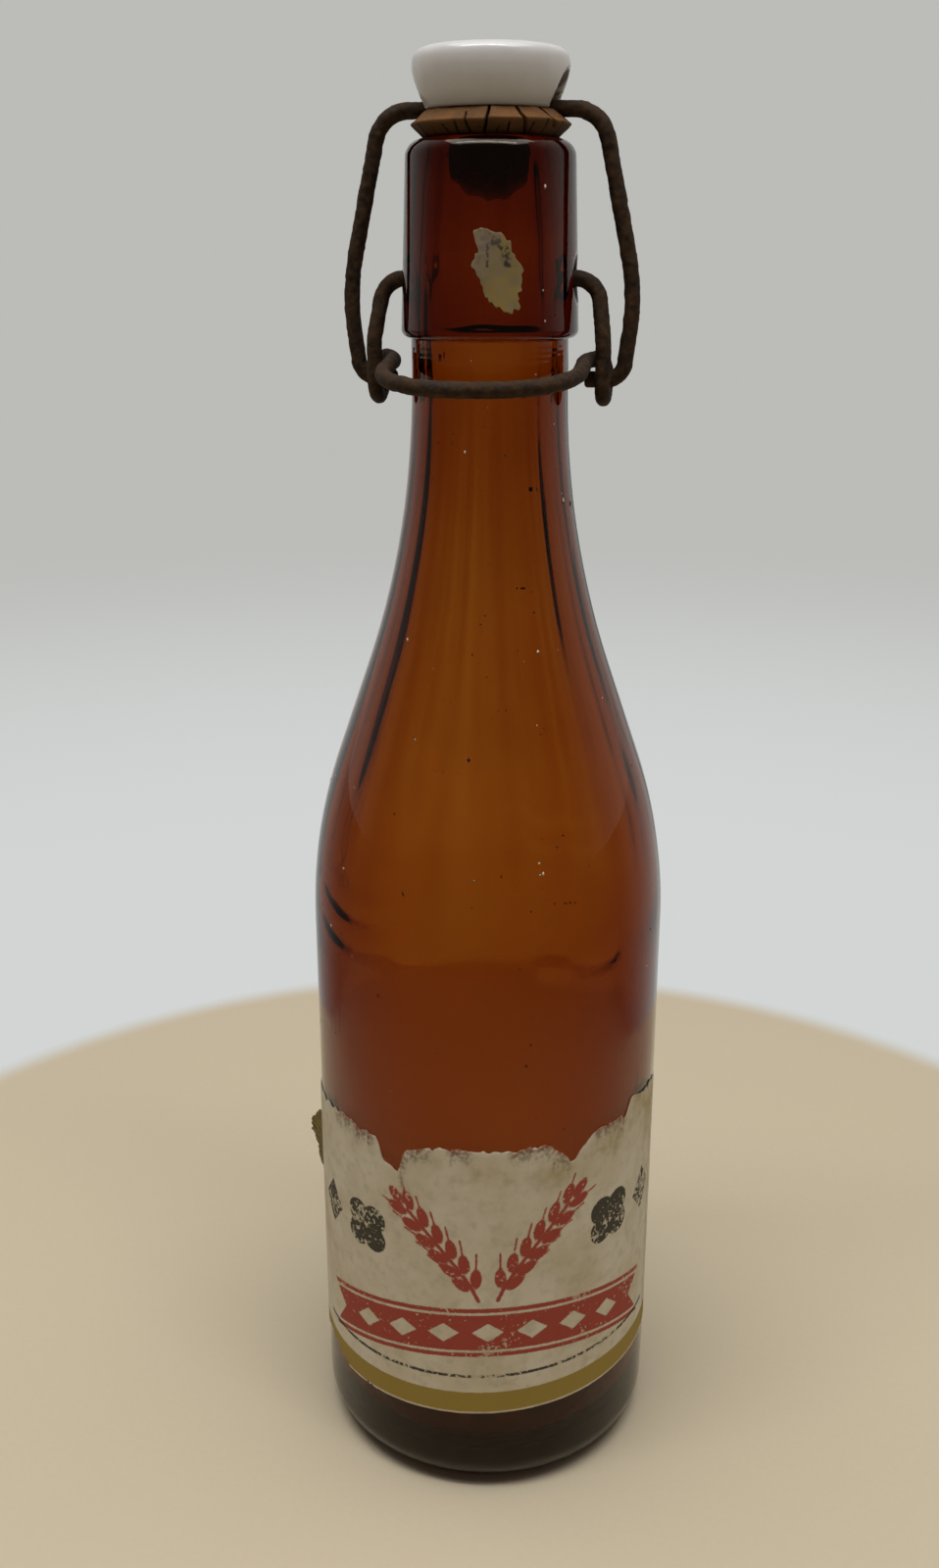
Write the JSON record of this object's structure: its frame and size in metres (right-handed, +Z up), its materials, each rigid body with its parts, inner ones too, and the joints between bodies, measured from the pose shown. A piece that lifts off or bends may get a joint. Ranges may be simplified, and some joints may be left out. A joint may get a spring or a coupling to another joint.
{
  "type": "swing top bottle",
  "caption": "Amber glass bottle with a long tapering shoulder, closed by a porcelain stopper and rubber washer on a wire swing lever, with torn paper labels.",
  "frame": {"origin": "middle of the standing face, on the axis of the bottle", "axes": "+Z up along the bottle, -Y to the front where the bow of the lever is, +X along the pins of the lever"},
  "size_m": [0.0729, 0.0705, 0.277],
  "materials": {
    "amber_glass": "clear amber glass, polished by the mould",
    "porcelain": "white glossy glaze",
    "perished_rubber": "matt, hardened and cracked",
    "rusty_wire": "round steel wire, dark with rust",
    "aged_paper": "matt, stained and torn"
  },
  "bodies": {
    "bottle": {"glass_bottle": "amber_glass", "body_label": "aged_paper", "neck_label_scrap": "aged_paper"},
    "lever": {"wire_lever": "rusty_wire"},
    "bail": {"wire_bail": "rusty_wire"},
    "stopper": {"stopper_head": "porcelain", "sealing_washer": "perished_rubber"}
  },
  "joints": [
    {"name": "lever_swing", "type": "hinge", "parent": "bottle", "child": "lever", "pos_m": [0, 0, 0.2391], "axis": [-1, 0, 0], "range_deg": [0, 170]},
    {"name": "bail_swing", "type": "hinge", "parent": "lever", "child": "bail", "pos_m": [0, 0.0006, 0.2218], "axis": [-1, 0, 0], "range_deg": [-112, 0]},
    {"name": "stopper_tilt", "type": "hinge", "parent": "bail", "child": "stopper", "pos_m": [0, 0, 0.2666], "axis": [-1, 0, 0], "range_deg": [-44, 0]}
  ],
  "couplings": [
    {"joint": "bail_swing", "follows": "lever_swing", "ratio": -0.65},
    {"joint": "stopper_tilt", "follows": "lever_swing", "ratio": -0.25}
  ]
}
